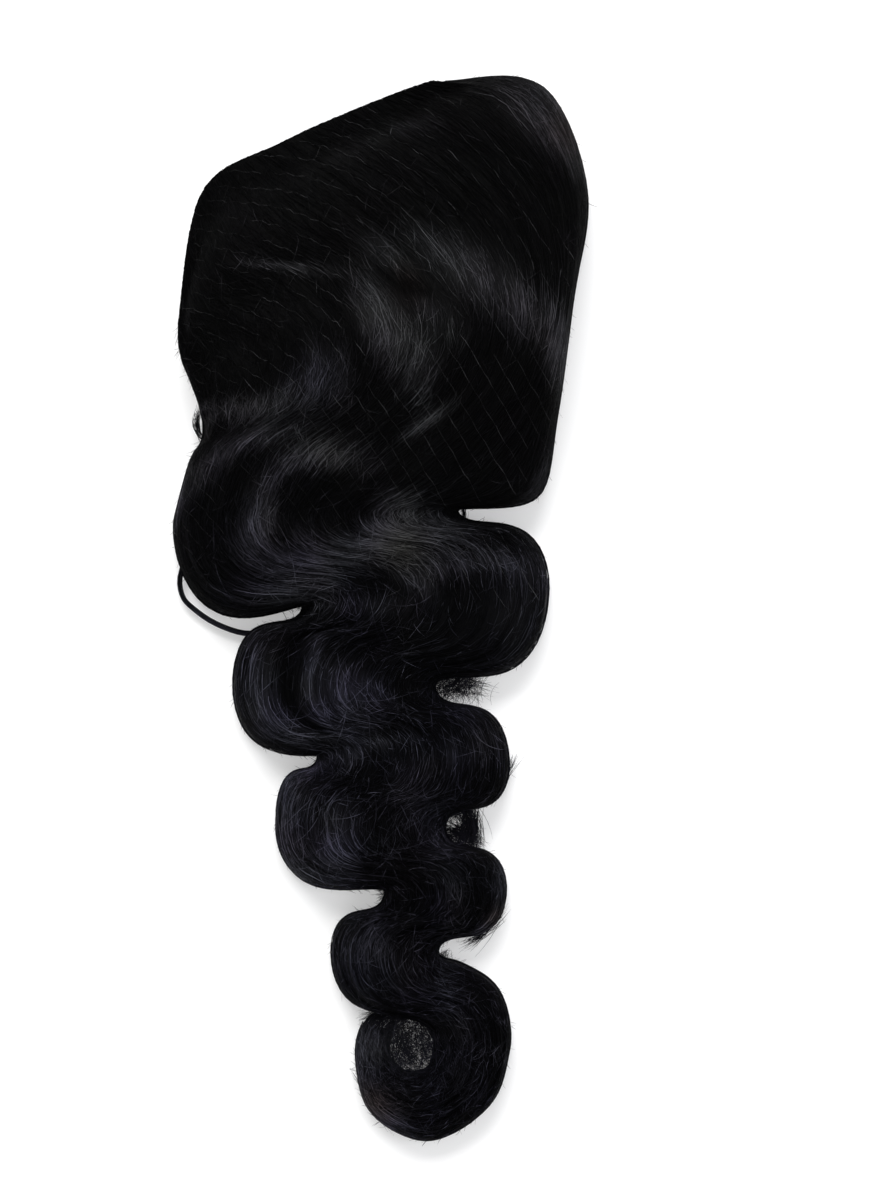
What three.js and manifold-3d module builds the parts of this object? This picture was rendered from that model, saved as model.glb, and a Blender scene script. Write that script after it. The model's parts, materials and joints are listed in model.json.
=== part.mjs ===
// Lace frontal with long body wave hair, folded in half and lying flat, in millimetres.
// The fold is on +X, the front hairline faces +Y, and the combed hair runs down to a curled tip.
import * as THREE from 'three';
import { mergeVertices } from 'three/addons/utils/BufferGeometryUtils.js';
import Module from 'manifold-3d';

const wasm = await Module();
wasm.setup();

// Driving dimensions
const pieceLength = 450;
const pieceWidth = 175;
const underDepth = 12;
const crownDepth = 42;
const laceWall = 1.2;
const lacePocket = 7;
const lockRidge = 2.4;
const edgeWall = 1.2;
const thinnestHair = 2.5;
const looseLockRadius = 1.3;
const looseLockHeight = 4.5;
const clearance = 0.3;

// Places are shares of the width and of the length, from the middle of the piece.
// under is the top of the lower hair as a share of its depth at the crown, over the top of the
// upper hair as a share of the crown's whole depth.
const crownRows = [
  { across: [[-.482, .262], [-.424, .3855], [-.231, .4325], [.032, .4765], [.167, .4935]], under: 1, over: .62 },
  { across: [[-.480, .236], [-.340, .328], [-.060, .383], [.190, .440], [.392, .489]], under: 1, over: .86 },
  { across: [[-.458, .213], [-.205, .297], [.100, .325], [.355, .368], [.4985, .392]], under: 1, over: .97 },
  { across: [[-.434, .187], [-.115, .245], [.170, .258], [.398, .272], [.464, .287]], under: 1, over: 1 },
  { across: [[-.428, .159], [-.150, .190], [.095, .192], [.325, .188], [.428, .183]], under: 1, over: .92 },
  { across: [[-.459, .137], [-.300, .148], [-.080, .134], [.165, .120], [.376, .106]], under: .98, over: .80 },
];

// One row at each turn of the wave. swing is how far the hair at the left and at the right edge
// runs on before it crosses to the next turn.
const waveRows = [
  { across: [[-.4995, .079], [-.180, .087], [.183, .0925]], swing: [1.75, .95], under: .94, over: .69 },
  { across: [[-.185, .003], [.110, .018], [.407, .019]], swing: [.8, 1.25], under: .92, over: .66 },
  { across: [[-.356, -.073], [-.110, -.072], [.130, -.0735]], swing: [1.3, .75], under: .88, over: .61 },
  { across: [[-.150, -.138], [.090, -.138], [.311, -.148]], swing: [.85, .6], under: .84, over: .58 },
  { across: [[-.253, -.205], [-.050, -.206], [.155, -.2065]], swing: [1.5, .5], under: .80, over: .53 },
  { across: [[.013, -.266], [.170, -.263], [.304, -.265]], swing: [.5, .7], under: .77, over: .49 },
  { across: [[-.119, -.325], [.010, -.325], [.137, -.325]], swing: [.55, .85], under: .73, over: .44 },
  { across: [[.130, -.409], [.223, -.408], [.315, -.4075]], under: .70, over: .41 },
];

// The tip curls round an eye: angles in degrees from +X, reaches as shares of the length.
const curlEye = [.078, -.414];
const curlRows = [
  { outer: [-34, .0902], inner: [-47, .0232], under: .68, over: .39 },
  { outer: [-79, .0886], inner: [-90, .0225], under: .66, over: .37 },
  { outer: [-122, .0726], inner: [-133, .0232], under: .63, over: .34 },
  { outer: [-170, .0540], inner: [-175, .0225], under: .58, over: .31 },
  { outer: [-207, .0520], inner: [-218, .0232], under: .50, over: .26 },
];

// One loose lock stands off the first bulge and comes back at the second.
const looseLockPlaces = [
  [-.455, .060], [-.484, .030], [-.478, .010], [-.450, -.002],
  [-.400, -.015], [-.335, -.024], [-.280, -.023], [-.225, -.018],
];

const lockCount = 5;
const pointsPerLock = 3;
const laneCount = lockCount * pointsPerLock;
const edgeCrowding = 0.7;
const fineSteps = { crown: 12, wave: 24, curl: 12 };
const stepsPerStation = 4;
const laceRowCount = 3;
const laceLastStation = (laceRowCount * fineSteps.crown) / stepsPerStation;
const laceFirstLane = 2;
const foldLane = laneCount - 3;
const laceLeafPoints = 8;
const foldPoints = 6;
const domePower = 3;
const flatShare = 0.8;
const sideShare = 0.45;
const waveCurl = 0.75;

const laceThickness = lacePocket + 2 * laceWall;
const laceLowerFace = underDepth + clearance;
const laceUpperFace = laceLowerFace + laceThickness;

function placeFromShares([x, y]) {
  return new THREE.Vector2(x * pieceWidth, y * pieceLength);
}

function curlPlace([degrees, reach]) {
  const angle = THREE.MathUtils.degToRad(degrees);
  const eye = placeFromShares(curlEye);
  const radius = reach * pieceLength;
  return new THREE.Vector2(eye.x + radius * Math.cos(angle), eye.y + radius * Math.sin(angle));
}

function placeAcross(row, share) {
  const curve = new THREE.SplineCurve(row.across.map(placeFromShares));
  return curve.getPoint(THREE.MathUtils.clamp(share, 0, 1));
}

function splinePoints(places, steps) {
  const curve = new THREE.SplineCurve(places);
  return curve.getPoints((places.length - 1) * steps);
}

// One swing of the wave from a turn to the next, at a share across the hair.
function wavePoints(index, share) {
  const from = waveRows[index];
  const to = waveRows[index + 1];
  const start = placeAcross(from, share);
  const end = placeAcross(to, share);
  const side = (index % 2 === 0 ? 1 : -1) * (2 * share - 1);
  const swing = THREE.MathUtils.lerp(...from.swing, share);
  const points = [];
  for (let step = 0; step < fineSteps.wave; step += 1) {
    const turn = (Math.PI * step) / fineSteps.wave;
    const sideways = (1 - Math.cos(turn)) / 2;
    const bend = (waveCurl / 2) * Math.sin(2 * turn) - side * swing * Math.sin(turn);
    const down = (turn + bend) / Math.PI;
    points.push(new THREE.Vector2(
      THREE.MathUtils.lerp(start.x, end.x, sideways),
      THREE.MathUtils.lerp(start.y, end.y, down),
    ));
  }
  return points;
}

function soften(points) {
  return points.map((point, index) => {
    if (index === 0 || index === points.length - 1) return point.clone();
    const neighbours = points[index - 1].clone().add(points[index + 1]);
    return neighbours.multiplyScalar(0.25).addScaledVector(point, 0.5);
  });
}

// The path that the hair takes at a share across the piece, from the hairline to the tip.
function lanePoints(share) {
  const crown = crownRows.map((row) => placeAcross(row, share));
  crown.push(placeAcross(waveRows[0], share));
  const points = splinePoints(crown, fineSteps.crown);
  points.pop();
  for (let index = 0; index < waveRows.length - 1; index += 1) {
    points.push(...wavePoints(index, share));
  }
  const curl = curlRows.map((row) => curlPlace(row.inner).lerp(curlPlace(row.outer), share));
  curl.unshift(placeAcross(waveRows[waveRows.length - 1], share));
  points.push(...splinePoints(curl, fineSteps.curl));
  const softened = soften(soften(points));
  return softened.filter((_, index) => index % stepsPerStation === 0);
}

// The depth named by a column of the tables, at every station from the hairline to the tip.
function depthsAlong(column) {
  const stretches = [
    { rows: [...crownRows, waveRows[0]], steps: fineSteps.crown },
    { rows: waveRows, steps: fineSteps.wave },
    { rows: [waveRows[waveRows.length - 1], ...curlRows], steps: fineSteps.curl },
  ];
  const depths = [];
  for (const { rows, steps } of stretches) {
    const heights = rows.map((row, index) => new THREE.Vector2(index, row[column]));
    const points = splinePoints(heights, steps / stepsPerStation);
    points.pop();
    depths.push(...points.map((point) => point.y));
  }
  depths.push(curlRows[curlRows.length - 1][column]);
  return depths;
}

function laneShare(lane) {
  const even = lane / laneCount;
  return even - (edgeCrowding * Math.sin(2 * Math.PI * even)) / (2 * Math.PI);
}

function dome(side) {
  return (1 - Math.abs(side) ** domePower) ** (1 / domePower);
}

function lockShape(lane) {
  return Math.sin((Math.PI * lane) / pointsPerLock) ** 2;
}

const lanes = [];
for (let lane = 0; lane <= laneCount; lane += 1) {
  lanes.push(lanePoints(laneShare(lane)));
}
const stationCount = lanes[0].length;
const underDepths = depthsAlong('under').map((share) => share * underDepth);
const overDepths = depthsAlong('over').map((share) => share * crownDepth);

function underLower(station, lane) {
  const side = Math.abs(2 * laneShare(lane) - 1);
  const rise = Math.max(0, (side - flatShare) / (1 - flatShare)) ** 2;
  return sideShare * underDepths[station] * rise;
}

function underUpper(station, lane) {
  const middle = sideShare * underDepths[station];
  const top = (underDepths[station] - middle) * dome(2 * laneShare(lane) - 1);
  return middle + Math.max(top, edgeWall);
}

// The upper hair passes over the lace, and comes down on the lower hair one station past it.
function overLower(station, lane) {
  const resting = underUpper(station, lane) + clearance;
  const overLace = station <= laceLastStation + 1 && lane <= foldLane;
  return overLace ? laceUpperFace + clearance : resting;
}

function overUpper(station, lane) {
  const side = (2 * laneShare(lane) - 1) / (1 - 2 * laneShare(1));
  const foot = underUpper(station, 1) + clearance;
  const top = foot + (overDepths[station] - foot) * dome(THREE.MathUtils.clamp(side, -1, 1));
  const ridge = lockRidge * (lockShape(lane) - 1);
  return Math.max(top + ridge, overLower(station, lane) + thinnestHair);
}

// A closed body between two faces that share a grid of rows and columns.
function slabGeometry(lower, upper) {
  const rowCount = lower.length;
  const columnCount = lower[0].length;
  const positions = [...lower.flat(), ...upper.flat()].flatMap((point) => point.toArray());
  const upperStart = rowCount * columnCount;
  const indices = [];
  const addQuad = (a, b, c, d) => indices.push(a, b, c, a, c, d);
  const at = (row, column) => row * columnCount + column;
  for (let row = 0; row < rowCount - 1; row += 1) {
    for (let column = 0; column < columnCount - 1; column += 1) {
      const corners = [at(row, column), at(row + 1, column), at(row + 1, column + 1), at(row, column + 1)];
      addQuad(...corners.map((corner) => corner + upperStart));
      addQuad(...corners.reverse());
    }
    const last = columnCount - 1;
    addQuad(at(row, 0), at(row + 1, 0), at(row + 1, 0) + upperStart, at(row, 0) + upperStart);
    addQuad(at(row + 1, last), at(row, last), at(row, last) + upperStart, at(row + 1, last) + upperStart);
  }
  for (let column = 0; column < columnCount - 1; column += 1) {
    const last = rowCount - 1;
    addQuad(at(0, column + 1), at(0, column), at(0, column) + upperStart, at(0, column + 1) + upperStart);
    addQuad(at(last, column), at(last, column + 1), at(last, column + 1) + upperStart, at(last, column) + upperStart);
  }
  const geometry = new THREE.BufferGeometry();
  geometry.setAttribute('position', new THREE.Float32BufferAttribute(positions, 3));
  geometry.setIndex(indices);
  return geometry;
}

function hairGeometry(firstLane, lastLane, lowerFace, upperFace) {
  const lower = [];
  const upper = [];
  for (let station = 0; station < stationCount; station += 1) {
    lower.push([]);
    upper.push([]);
    for (let lane = firstLane; lane <= lastLane; lane += 1) {
      const { x, y } = lanes[lane][station];
      lower[station].push(new THREE.Vector3(x, y, lowerFace(station, lane)));
      upper[station].push(new THREE.Vector3(x, y, upperFace(station, lane)));
    }
  }
  return slabGeometry(lower, upper);
}

// The lace's section: along the lower leaf, round the fold and back along the upper leaf.
function laceSection() {
  const middle = (laceLowerFace + laceUpperFace) / 2;
  const outerRadius = laceThickness / 2;
  const innerRadius = lacePocket / 2;
  const start = laneShare(laceFirstLane);
  const end = laneShare(foldLane) - (outerRadius + clearance) / pieceWidth;
  const section = [];
  for (let point = 0; point < laceLeafPoints; point += 1) {
    const share = THREE.MathUtils.lerp(start, end, point / laceLeafPoints);
    section.push({ outer: [share, laceLowerFace], inner: [share, laceLowerFace + laceWall] });
  }
  for (let point = 0; point <= foldPoints; point += 1) {
    const angle = Math.PI * (point / foldPoints - 0.5);
    const onArc = (radius) => [
      end + (radius * Math.cos(angle)) / pieceWidth,
      middle + radius * Math.sin(angle),
    ];
    section.push({ outer: onArc(outerRadius), inner: onArc(innerRadius) });
  }
  for (let point = laceLeafPoints - 1; point >= 0; point -= 1) {
    const share = THREE.MathUtils.lerp(start, end, point / laceLeafPoints);
    section.push({ outer: [share, laceUpperFace], inner: [share, laceUpperFace - laceWall] });
  }
  return section;
}

function laceGeometry() {
  const faces = { outer: [], inner: [] };
  const section = laceSection();
  for (const side of Object.keys(faces)) {
    const paths = section.map((point) => lanePoints(point[side][0]));
    for (let station = 0; station <= laceLastStation; station += 1) {
      faces[side].push(section.map((point, index) => {
        const { x, y } = paths[index][station];
        return new THREE.Vector3(x, y, point[side][1]);
      }));
    }
  }
  return slabGeometry(faces.outer, faces.inner);
}

function looseLockGeometry() {
  const route = new THREE.CatmullRomCurve3(looseLockPlaces.map((shares) => {
    const { x, y } = placeFromShares(shares);
    return new THREE.Vector3(x, y, looseLockHeight);
  }));
  const section = new THREE.Shape();
  section.absarc(0, 0, looseLockRadius, 0, 2 * Math.PI, false);
  return new THREE.ExtrudeGeometry(section, { extrudePath: route, steps: 24, curveSegments: 4 });
}

function solidFrom(geometry) {
  const bare = geometry.clone();
  bare.deleteAttribute('normal');
  bare.deleteAttribute('uv');
  const merged = mergeVertices(bare, 1e-4);
  return new wasm.Manifold(new wasm.Mesh({
    numProp: 3,
    vertProperties: Float32Array.from(merged.attributes.position.array),
    triVerts: Uint32Array.from(merged.index.array),
  }));
}

function geometryFrom(solid) {
  const mesh = solid.getMesh();
  const geometry = new THREE.BufferGeometry();
  geometry.setAttribute('position', new THREE.BufferAttribute(mesh.vertProperties, 3));
  geometry.setIndex(new THREE.BufferAttribute(mesh.triVerts, 1));
  return geometry;
}

function makePiece(name, geometry, finish) {
  geometry.computeVertexNormals();
  const piece = new THREE.Mesh(geometry, new THREE.MeshStandardMaterial(finish));
  piece.name = name;
  return piece;
}

// The hair that lies below the lace, on its flat underside, with the loose lock fused to it.
function makeUnderHair() {
  const body = solidFrom(hairGeometry(0, laneCount, underLower, underUpper));
  const geometry = geometryFrom(body.add(solidFrom(looseLockGeometry())));
  return makePiece('under_hair', geometry, { color: 0x0c0c10, roughness: 0.5, metalness: 0 });
}

// The hair that lies over the lace and, past the lace, straight on the lower hair.
function makeOverHair() {
  const geometry = hairGeometry(1, laneCount - 1, overLower, overUpper);
  return makePiece('over_hair', geometry, { color: 0x111116, roughness: 0.45, metalness: 0 });
}

function makeLaceBase() {
  return makePiece('lace_base', laceGeometry(), { color: 0x3a2c22, roughness: 0.9, metalness: 0 });
}

const frontal = new THREE.Group();
frontal.add(makeLaceBase(), makeUnderHair(), makeOverHair());

// The middle of the whole piece's footprint stands over the origin.
const bounds = new THREE.Box3().setFromObject(frontal);
const middle = bounds.getCenter(new THREE.Vector3());
frontal.position.set(-middle.x, -middle.y, -bounds.min.z);

export default frontal;
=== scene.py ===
import json
import math

import bmesh
import bpy
import numpy as np
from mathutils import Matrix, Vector
from mathutils.bvhtree import BVHTree

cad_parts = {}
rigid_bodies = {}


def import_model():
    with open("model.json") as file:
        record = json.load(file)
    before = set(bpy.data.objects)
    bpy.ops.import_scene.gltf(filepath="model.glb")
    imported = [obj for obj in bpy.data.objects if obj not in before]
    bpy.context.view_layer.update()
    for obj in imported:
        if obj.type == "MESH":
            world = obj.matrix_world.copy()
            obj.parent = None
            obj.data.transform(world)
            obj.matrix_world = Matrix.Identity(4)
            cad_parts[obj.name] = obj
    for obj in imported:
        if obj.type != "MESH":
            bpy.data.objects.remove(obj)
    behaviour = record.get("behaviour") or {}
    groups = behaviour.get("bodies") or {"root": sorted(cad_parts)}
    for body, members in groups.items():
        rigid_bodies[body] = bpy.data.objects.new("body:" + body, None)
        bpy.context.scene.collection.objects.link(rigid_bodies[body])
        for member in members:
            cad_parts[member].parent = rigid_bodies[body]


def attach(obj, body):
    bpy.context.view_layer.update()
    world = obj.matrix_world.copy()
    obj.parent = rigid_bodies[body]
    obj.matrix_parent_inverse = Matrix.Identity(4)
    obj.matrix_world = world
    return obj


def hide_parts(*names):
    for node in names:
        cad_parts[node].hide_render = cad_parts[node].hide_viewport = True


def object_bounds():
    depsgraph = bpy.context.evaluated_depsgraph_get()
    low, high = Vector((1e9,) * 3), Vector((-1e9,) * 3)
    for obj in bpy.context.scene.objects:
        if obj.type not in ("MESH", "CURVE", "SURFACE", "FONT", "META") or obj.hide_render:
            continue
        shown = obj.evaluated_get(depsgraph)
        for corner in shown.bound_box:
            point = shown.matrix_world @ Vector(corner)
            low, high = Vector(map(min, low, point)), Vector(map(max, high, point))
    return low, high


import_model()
cadLow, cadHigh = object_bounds()

# the flow of the hair: places are shares of the width and of the length, as in the CAD source
hairFlow = {
    "length": 0.450,
    "width": 0.175,
    "underDepth": 0.012,
    "crownDepth": 0.042,
    "crown": [  # five places from the left edge to the right, lower hair depth, whole depth
        ([(-.482, .262), (-.424, .3855), (-.231, .4325), (.032, .4765), (.167, .4935)], 1, .66),
        ([(-.480, .236), (-.340, .328), (-.060, .383), (.190, .440), (.392, .489)], 1, .90),
        ([(-.458, .213), (-.205, .297), (.100, .325), (.355, .368), (.4985, .392)], 1, .93),
        ([(-.434, .187), (-.115, .245), (.170, .258), (.398, .272), (.464, .287)], 1, 1.02),
        ([(-.428, .159), (-.150, .190), (.095, .192), (.325, .188), (.428, .183)], 1, .90),
        ([(-.459, .137), (-.300, .148), (-.080, .134), (.165, .120), (.376, .106)], .98, .79),
    ],
    "wave": [  # one row at each turn: places, depths, and how far each edge swings on after it
        ([(-.4995, .079), (-.180, .087), (.183, .0925)], .94, .69, (1.75, .95)),
        ([(-.185, .003), (.110, .018), (.407, .019)], .92, .66, (.8, 1.25)),
        ([(-.356, -.073), (-.110, -.072), (.130, -.0735)], .88, .61, (1.3, .75)),
        ([(-.150, -.138), (.090, -.138), (.311, -.148)], .84, .58, (.85, .6)),
        ([(-.253, -.205), (-.050, -.206), (.155, -.2065)], .80, .53, (1.5, .5)),
        ([(.013, -.266), (.170, -.263), (.304, -.265)], .77, .49, (.5, .7)),
        ([(-.119, -.325), (.010, -.325), (.137, -.325)], .73, .44, (.55, .85)),
        ([(.130, -.409), (.223, -.408), (.315, -.4075)], .70, .41, (1, 1)),
    ],
    "eye": (.078, -.414),
    "curl": [  # outer and inner angle and reach round the eye, reaches as shares of the length
        ((-34, .0902), (-47, .0232), .68, .39),
        ((-79, .0886), (-90, .0225), .66, .37),
        ((-122, .0726), (-133, .0232), .63, .34),
        ((-170, .0540), (-175, .0225), .58, .31),
        ((-207, .0520), (-218, .0232), .50, .24),
        ((-232, .0490), (-252, .0300), .40, .15),  # past the solid: the ends tuck under the wave
    ],
    "steps": (12, 24, 12),  # stations from row to row in the crown, the waves and the curl
    "laceRows": 3,  # the lace ends this many rows after the hairline
    "softenings": 2,
    "curlTuck": 12,  # stations past the last one of the solid
    "waveCurl": .75,
    "lanes": 161,
    "nudges": [  # hair that hangs out past the solid: station, share, how far each reaches, x and y in metres
        (83, 0, 8, .14, -.0005, -.0038),
        (137, 0, 6, .12, 0, -.0026),
        (61, 1, 5, .10, .0010, -.0010),
        (223, 1, 5, .12, .0012, .0038),
    ],
}


# Catmull-Rom through rows of points, with the end points doubled
def spline(points, at):
    points = np.asarray(points, float)
    last = len(points) - 1
    at = np.clip(at, 0, last)
    index = np.minimum(at.astype(int), last - 1)
    part = (at - index).reshape((-1,) + (1,) * (points.ndim - 1))
    a = points[np.maximum(index - 1, 0)]
    b = points[index]
    c = points[index + 1]
    d = points[np.minimum(index + 2, last)]
    cubic = 3 * b - a - 3 * c + d
    square = 2 * a - 5 * b + 4 * c - d
    return 0.5 * (2 * b + (c - a) * part + square * part ** 2 + cubic * part ** 3)


def buildFlow(spec):
    scale = np.array([spec["width"], spec["length"]])
    shares = np.linspace(0, 1, spec["lanes"])

    def across(row):
        guide = np.array(row[0]) * scale
        return spline(guide, shares * (len(guide) - 1))

    def along(rows, steps, closed=False):
        count = (len(rows) - 1) * steps
        return spline(np.array(rows), np.linspace(0, len(rows) - 1, count + 1)[: count + closed])

    crownSteps, waveSteps, curlSteps = spec["steps"]
    wave = spec["wave"]
    parts = [along([across(row) for row in spec["crown"]] + [across(wave[0])], crownSteps)]
    for index in range(len(wave) - 1):
        start, end = across(wave[index]), across(wave[index + 1])
        side = (1 if index % 2 == 0 else -1) * (2 * shares - 1)
        turn = (np.pi * np.arange(waveSteps) / waveSteps)[:, None]
        sideways = (1 - np.cos(turn)) / 2
        swing = wave[index][3][0] + (wave[index][3][1] - wave[index][3][0]) * shares
        bend = spec["waveCurl"] / 2 * np.sin(2 * turn) - side * swing * np.sin(turn)
        down = (turn + bend) / np.pi
        x = start[:, 0] + (end[:, 0] - start[:, 0]) * sideways
        y = start[:, 1] + (end[:, 1] - start[:, 1]) * down
        parts.append(np.stack([x, y], -1))
    eye = np.array(spec["eye"]) * scale
    rows = [across(wave[-1])]
    for outer, inner, _, _ in spec["curl"]:
        ends = []
        for degrees, reach in (inner, outer):
            angle = math.radians(degrees)
            ends.append(eye + reach * spec["length"] * np.array([math.cos(angle), math.sin(angle)]))
        rows.append(ends[0] + (ends[1] - ends[0]) * shares[:, None])
    parts.append(along(rows, curlSteps, True))
    grid = np.concatenate(parts)
    for _ in range(spec["softenings"]):
        softer = grid.copy()
        softer[1:-1] = (grid[:-2] + 2 * grid[1:-1] + grid[2:]) / 4
        grid = softer

    solidGrid = grid[: len(grid) - spec["curlTuck"]]
    middle = (solidGrid.min((0, 1)) + solidGrid.max((0, 1))) / 2
    stations = np.arange(len(grid))[:, None]
    for station, share, reach, side, moveX, moveY in spec["nudges"]:
        near = np.exp(-((stations - station) / reach) ** 2 - ((shares - share) / side) ** 2)
        grid = grid + near[..., None] * np.array([moveX, moveY])

    def depths(column):
        names = [([*spec["crown"], wave[0]], crownSteps), (wave, waveSteps)]
        values = [along([[row[column]] for row in rows], steps) for rows, steps in names]
        curl = [[wave[-1][column]]] + [[row[column + 1]] for row in spec["curl"]]
        return np.concatenate(values + [along(curl, curlSteps, True)])[:, 0]

    grid = grid - middle + np.array([(cadLow.x + cadHigh.x) / 2, (cadLow.y + cadHigh.y) / 2])
    return grid, depths(1) * spec["underDepth"], depths(2) * spec["crownDepth"], middle


flowGrid, underDepths, overDepths, flowMiddle = buildFlow(hairFlow)
lastStation = len(flowGrid) - 1 - hairFlow["curlTuck"]
laceStation = hairFlow["laceRows"] * hairFlow["steps"][0]
millimetre = .001
print("flow of the hair laid out:", len(flowGrid), "stations")


# a place in millimetres from the middle of the piece, in metres and in the frame
def placeFromMiddle(x, y):
    centre = np.array([(cadLow.x + cadHigh.x) / 2, (cadLow.y + cadHigh.y) / 2])
    return np.array([x, y]) * millimetre - flowMiddle + centre


justShort = 1.001  # keeps a fractional place before the last row, so that it has a next one


# the table's value at fractional stations, and at shares across where it has lanes
def between(table, station, share=None):
    station = np.clip(station, 0, len(table) - justShort)
    row = station.astype(int)
    part = station - row
    if share is None:
        return table[row] * (1 - part) + table[row + 1] * part
    lane = np.clip(share, 0, 1) * (table.shape[1] - justShort)
    column = lane.astype(int)
    side = (lane - column)[..., None]
    part = part[..., None]
    near = table[row, column] * (1 - side) + table[row, column + 1] * side
    far = table[row + 1, column] * (1 - side) + table[row + 1, column + 1] * side
    return near * (1 - part) + far * part


def smooth(low, high, value):
    x = np.clip((value - low) / (high - low), 0, 1)
    return x * x * (3 - 2 * x)


# smooth lattice noise from -1 to 1, the same again after each 64 cells
def valueNoise(u, v, seed, cells=64):
    table = np.random.default_rng(seed).uniform(-1, 1, (cells, cells))
    i, j = np.floor(u).astype(int), np.floor(v).astype(int)
    fu, fv = u - i, v - j
    fu, fv = fu * fu * (3 - 2 * fu), fv * fv * (3 - 2 * fv)
    a, b = table[i % cells, j % cells], table[(i + 1) % cells, j % cells]
    c, d = table[i % cells, (j + 1) % cells], table[(i + 1) % cells, (j + 1) % cells]
    return (a * (1 - fu) + b * fu) * (1 - fv) + (c * (1 - fu) + d * fu) * fv


# heights of the two layers of hair
hairForm = {
    "sideShare": .45,  # how far up the depth the upright sides of the lower hair reach
    "undercutFrom": .8,  # from here out, as a share of the half width, the underside rises
    "edge": .0010,
    "gap": .0003,
    "inset": .007,  # the upper hair starts this share in from the edges
    "laceLow": .0123,
    "laceThickness": .0094,
    "foldShare": .905,
    "domePower": 2.5,
    "thinnest": .0012,
    "liftEnd": (8, 3),  # stations past the lace where the upper hair is down, and where it starts to fall
    "hairline": (.35, 9),  # share of the depth at the hairline, stations up to the full depth
    "tip": (.45, 16, 4),  # share of the depth at the tip, stations of fall, stations past the end
    "edgeRelief": .2,
    "closerEdges": .38,  # how much closer the lanes lie at both edges
    "lockWander": (.012, 40, 3),  # share, stations and waves across
    "locks": [  # locks across, changes along, height in metres, ridged or soft
        (7, 10, .0013, True),
        (16, 16, .0009, True),
        (36, 26, .00045, False),
    ],
    # where the upper locks end short of the edge: station, spread, share across, side, drop
    "ledges": [
        (118, 16, .30, 1, .0055),
        (166, 8, .16, 1, .0017),
        (216, 12, .17, 1, .0025),
        (96, 13, .84, -1, .0030),
        (144, 12, .80, -1, .0025),
    ],
    "ledgeSlope": (.035, .01),  # inwards and outwards, shares across
}


def dome(side, power):
    return np.maximum(1 - np.abs(side) ** power, 0) ** (1 / power)


def lockRelief(station, share, seed):
    relief = np.zeros_like(station)
    stray, along, across = hairForm["lockWander"]
    for order, (count, changes, height, ridged) in enumerate(hairForm["locks"]):
        wander = share + stray * valueNoise(station / along, share * across, seed + 50 + order)
        ridge = valueNoise(wander * count, station / lastStation * changes, seed + order)
        relief += height * (1 - 2 * np.abs(ridge)) if ridged else height * ridge
    return relief


def underTop(station, share):
    depth = between(underDepths, station)
    middle = hairForm["sideShare"] * depth
    top = (depth - middle) * dome(2 * share - 1, hairForm["domePower"])
    return middle + np.maximum(top, hairForm["edge"])


def underBottom(station, share):
    side = np.abs(2 * share - 1)
    rise = np.clip((side - hairForm["undercutFrom"]) / (1 - hairForm["undercutFrom"]), 0, 1) ** 2
    return hairForm["sideShare"] * between(underDepths, station) * rise


# the upper hair is lifted by the lace near the hairline
def overBottom(station, share):
    resting = underTop(station, share) + hairForm["gap"]
    raised = hairForm["laceLow"] + hairForm["laceThickness"] + hairForm["gap"]
    down, falling = hairForm["liftEnd"]
    lift = smooth(laceStation + down, laceStation + falling, station) * (share < hairForm["foldShare"])
    return resting * (1 - lift) + np.maximum(raised, resting) * lift


def overTop(station, share):
    inset = hairForm["inset"]
    side = np.clip((2 * share - 1) / (1 - 2 * inset), -1, 1)
    foot = underTop(station, np.full_like(share, inset)) + hairForm["gap"]
    depth = between(overDepths, station)
    rounded = dome(side, hairForm["domePower"])
    for place, spread, edge, way, drop in hairForm["ledges"]:
        near = np.exp(-((station - place) / spread) ** 2)
        inward, outward = hairForm["ledgeSlope"]
        depth = depth - drop * near * smooth(edge + inward * way, edge - outward * way, share)
    thin, rise = hairForm["hairline"]
    hairline = thin + (1 - thin) * smooth(0, rise, station)
    thin, fall, past = hairForm["tip"]
    tip = thin + (1 - thin) * smooth(0, fall, lastStation + past - station)
    top = foot + (depth - foot) * rounded * np.minimum(hairline, tip)
    calm = hairForm["edgeRelief"]
    top += lockRelief(station, share, 11) * (calm + (1 - calm) * rounded)
    return np.maximum(top, overBottom(station, share) + hairForm["thinnest"])


# even steps over the rounded section, closer at both edges
def shareFromSpread(spread):
    closer = hairForm["closerEdges"]
    return (1 - closer) * spread + closer * (1 - np.cos(np.pi * spread)) / 2


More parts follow.
